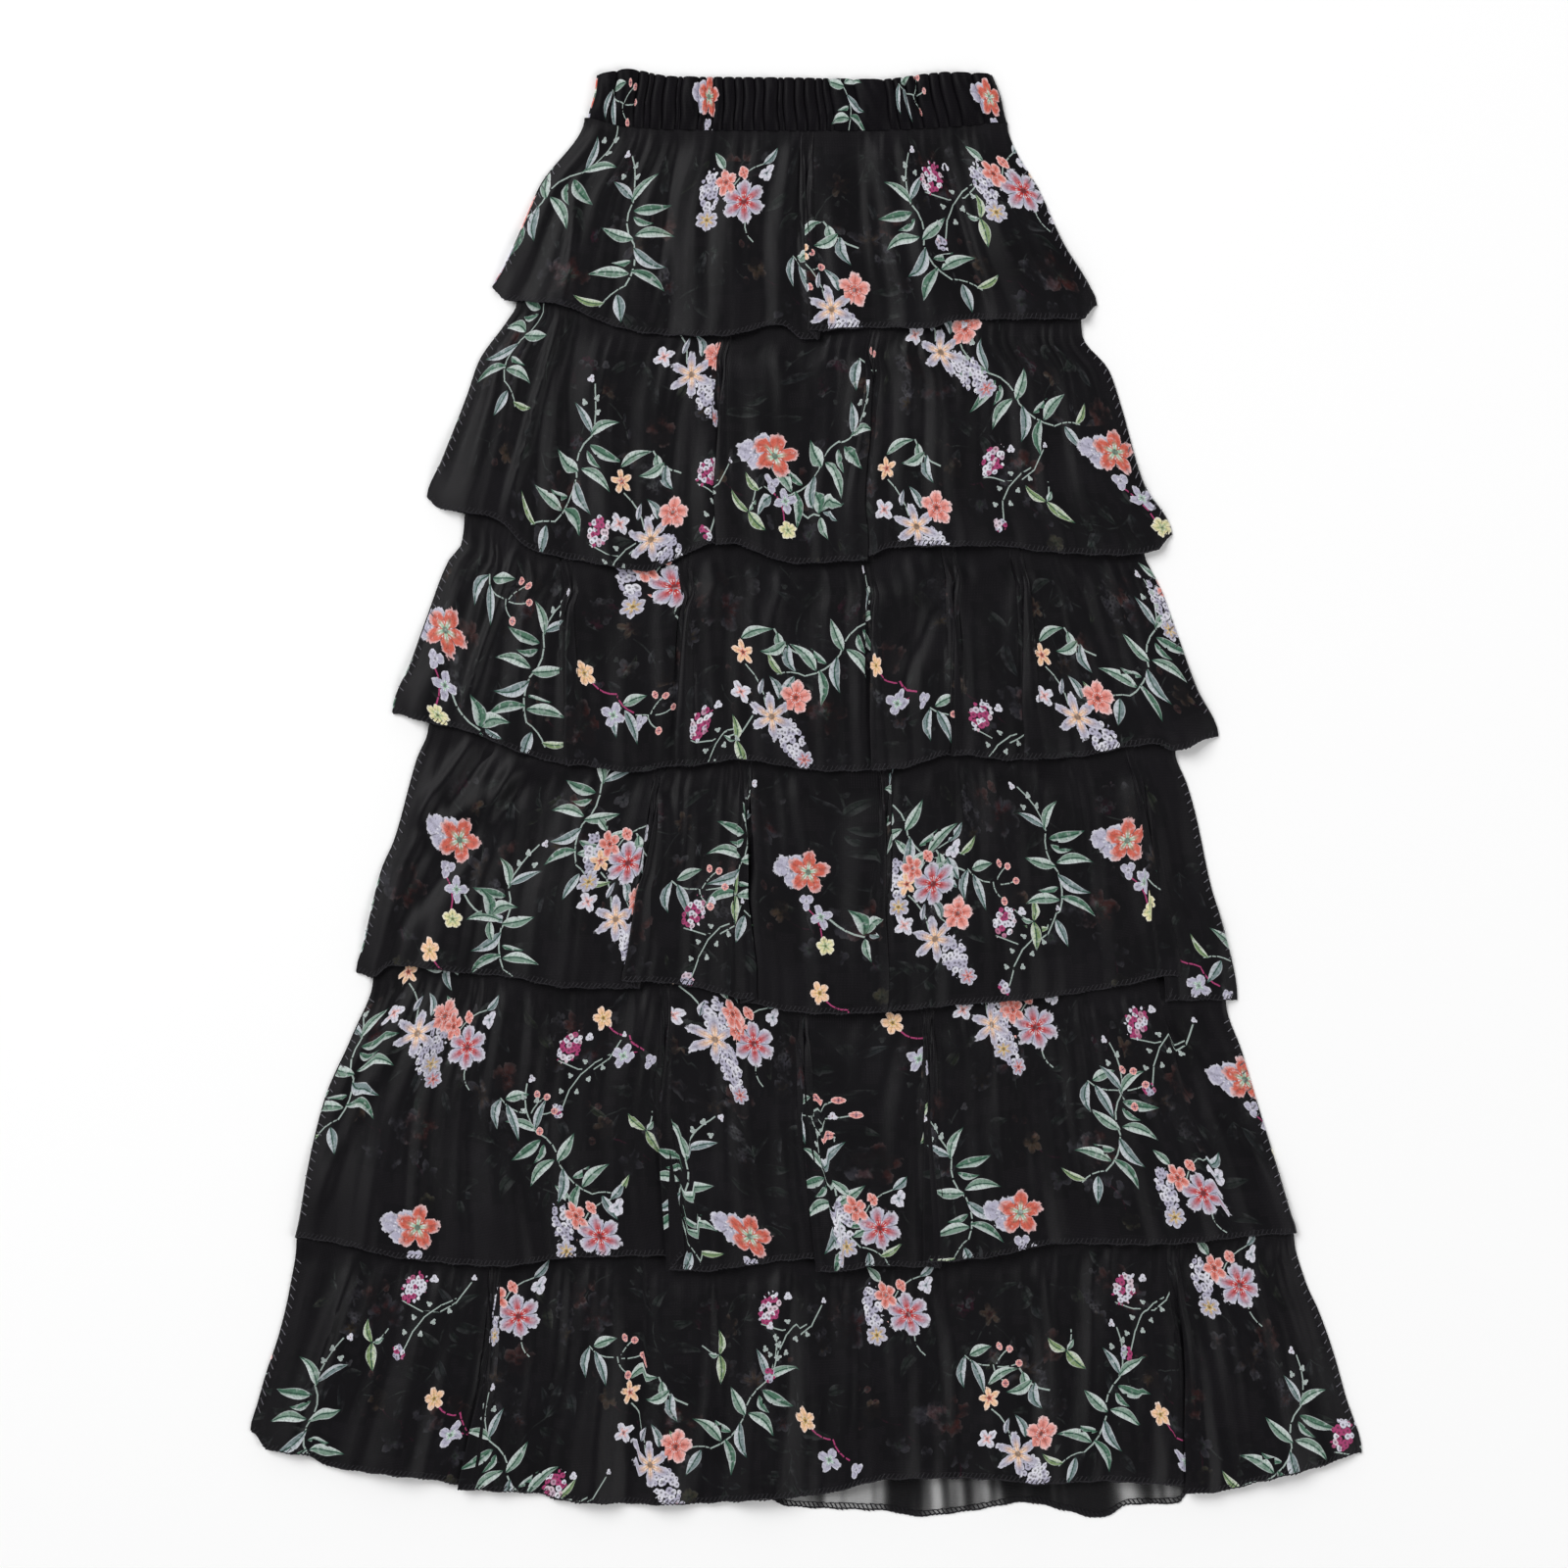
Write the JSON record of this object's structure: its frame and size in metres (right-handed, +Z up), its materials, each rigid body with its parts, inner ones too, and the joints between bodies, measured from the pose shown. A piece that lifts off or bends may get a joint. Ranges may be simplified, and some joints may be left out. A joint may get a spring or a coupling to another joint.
{
  "type": "tiered ruffle mesh skirt",
  "caption": "Long sheer mesh skirt of stacked gathered ruffle tiers under a gathered elastic waistband, laid flat with its front up.",
  "frame": {"origin": "centre of the bounding box, on the surface that the skirt lies on", "axes": "+Y from the hem to the waist along the skirt's length, +X across to the viewer's right as it lies front up, +Z up from the surface through the cloth"},
  "size_m": [0.766, 1, 0.0109],
  "materials": {
    "waistband_mesh": "doubled black stretch mesh with a floral print, gathered over elastic, soft satin sheen on the gathers",
    "tier_mesh": "single layer of sheer black stretch mesh with a multicolour floral print and overlocked hems, soft satin sheen"
  },
  "bodies": {
    "root": {"waistband_front": "waistband_mesh", "waistband_back": "waistband_mesh", "tier_1_front": "tier_mesh", "tier_1_back": "tier_mesh", "tier_2_front": "tier_mesh", "tier_2_back": "tier_mesh", "tier_3_front": "tier_mesh", "tier_3_back": "tier_mesh", "tier_4_front": "tier_mesh", "tier_4_back": "tier_mesh", "tier_5_front": "tier_mesh", "tier_5_back": "tier_mesh", "tier_6_front": "tier_mesh", "tier_6_back": "tier_mesh"}
  },
  "joints": []
}
